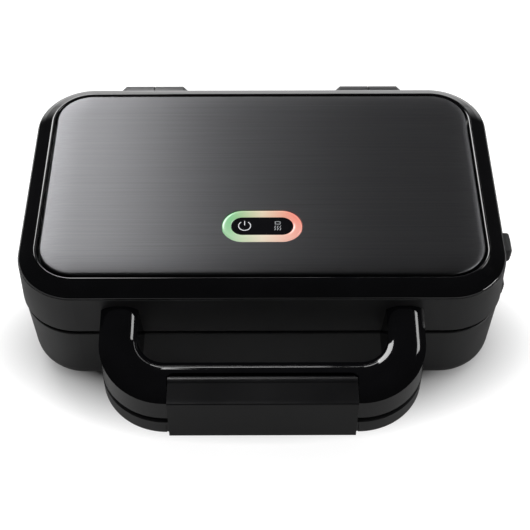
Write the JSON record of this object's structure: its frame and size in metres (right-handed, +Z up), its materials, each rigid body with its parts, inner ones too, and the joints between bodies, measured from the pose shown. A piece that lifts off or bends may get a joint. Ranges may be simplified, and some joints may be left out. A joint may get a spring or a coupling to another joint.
{
  "type": "sandwich maker",
  "caption": "Countertop sandwich maker with a hinged lid, diagonal pocket plates, a U-shaped handle with a swinging clip, side release buttons and a lit indicator ring on a brushed panel.",
  "frame": {"origin": "on the table, under the middle of the whole, handle, hinges and buttons included", "axes": "+X to the right, where the release buttons are; +Y to the back, where the hinges are; +Z up"},
  "size_m": [0.2962, 0.2598, 0.0961],
  "materials": {
    "satin_plastic": "satin black moulded plastic",
    "gloss_plastic": "polished black moulded plastic",
    "clip_plastic": "satin black moulded plastic",
    "black_steel": "brushed steel, tinted black",
    "light_ring": "milky light ring, lit green to red",
    "dark_window": "gloss black window with two icons",
    "nonstick_aluminium": "cast aluminium with dark non-stick coat",
    "aluminised_sheet": "bright pressed sheet",
    "element_sheath": "oxidised sheath",
    "ceramic": "glazed ceramic",
    "bright_steel": "plated steel",
    "foot_rubber": "moulded rubber",
    "terminal_plastic": "white moulded plastic",
    "board_laminate": "green circuit board",
    "green_led": "clear green lens",
    "red_led": "clear red lens"
  },
  "bodies": {
    "base": {"base_shell": "satin_plastic", "feet": "foot_rubber", "left_hinge_pin": "bright_steel", "right_hinge_pin": "bright_steel", "cord_grommet": "foot_rubber", "lower_reflector": "aluminised_sheet", "lower_reflector_screws": "bright_steel", "lower_element": "element_sheath", "lower_element_insulators": "ceramic", "lower_element_brackets": "bright_steel", "lower_plate": "nonstick_aluminium", "lower_handle": "satin_plastic", "lower_handle_screws": "bright_steel", "thermostat": "ceramic", "thermal_fuse": "bright_steel", "terminal_block": "terminal_plastic", "lower_release_spring": "bright_steel"},
    "lid": {"lid_shell": "satin_plastic", "lid_bezel": "gloss_plastic", "lid_screws": "bright_steel", "lid_panel": "black_steel", "indicator_ring": "light_ring", "indicator_window": "dark_window", "indicator_board": "board_laminate", "board_screws": "bright_steel", "power_led": "green_led", "ready_led": "red_led", "upper_reflector": "aluminised_sheet", "upper_reflector_screws": "bright_steel", "upper_element": "element_sheath", "upper_element_insulators": "ceramic", "upper_element_brackets": "bright_steel", "upper_plate": "nonstick_aluminium", "upper_handle": "gloss_plastic", "upper_handle_screws": "bright_steel", "upper_release_spring": "bright_steel"},
    "clip": {"handle_clip": "clip_plastic"},
    "lower_release": {"lower_release_button": "satin_plastic"},
    "upper_release": {"upper_release_button": "satin_plastic"}
  },
  "joints": [
    {"name": "lid_hinge", "type": "hinge", "parent": "base", "child": "lid", "pos_m": [-0.0019, 0.1209, 0.0697], "axis": [-1, 0, 0], "range_deg": [0, 100]},
    {"name": "clip_hinge", "type": "hinge", "parent": "lid", "child": "clip", "pos_m": [-0.0019, -0.1144, 0.07113], "axis": [-1, 0, 0], "range_deg": [0, 70]},
    {"name": "lower_release_press", "type": "slide", "parent": "base", "child": "lower_release", "axis": [-1, 0, 0], "range_m": [0, 0.004], "stiffness_N_per_m": 600, "springref_m": -0.003, "deforming": ["lower_release_spring"]},
    {"name": "upper_release_press", "type": "slide", "parent": "lid", "child": "upper_release", "axis": [-1, 0, 0], "range_m": [0, 0.004], "stiffness_N_per_m": 600, "springref_m": -0.003, "deforming": ["upper_release_spring"]}
  ]
}
